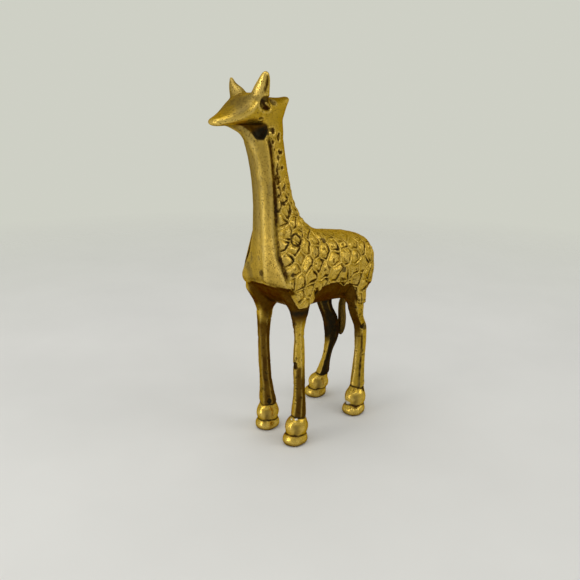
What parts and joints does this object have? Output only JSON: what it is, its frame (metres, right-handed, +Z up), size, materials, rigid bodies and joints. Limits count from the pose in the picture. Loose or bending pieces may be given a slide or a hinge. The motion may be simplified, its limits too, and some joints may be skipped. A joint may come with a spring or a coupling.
{
  "type": "brass giraffe figurine",
  "caption": "Free-standing cast brass giraffe with a chased cell pattern on trunk and neck, smooth head with horns, straight legs and grooved hooves.",
  "frame": {"origin": "under the middle of the figurine's bounding box, on the surface that it stands on", "axes": "+X the way the giraffe faces, +Y its left side, +Z up"},
  "size_m": [0.1309, 0.0486, 0.2096],
  "materials": {
    "chased_brass": "hand-chased cells, worn golden ridges, brown and black patina in the recesses",
    "smooth_brass": "semi-polished, fine pits, thin brown patina",
    "leg_brass": "semi-polished with chisel nicks along the edges",
    "hoof_brass": "polished by handling, dark patina in the grooves",
    "pin_brass": "plain drawn rod"
  },
  "bodies": {
    "root": {"body_shell_left": "chased_brass", "body_shell_right": "chased_brass", "head": "smooth_brass", "front_leg_left": "leg_brass", "front_leg_right": "leg_brass", "rear_leg_left": "leg_brass", "rear_leg_right": "leg_brass", "front_hoof_left": "hoof_brass", "front_hoof_right": "hoof_brass", "rear_hoof_left": "hoof_brass", "rear_hoof_right": "hoof_brass", "tail": "leg_brass", "dowel_pins": "pin_brass"}
  },
  "joints": []
}
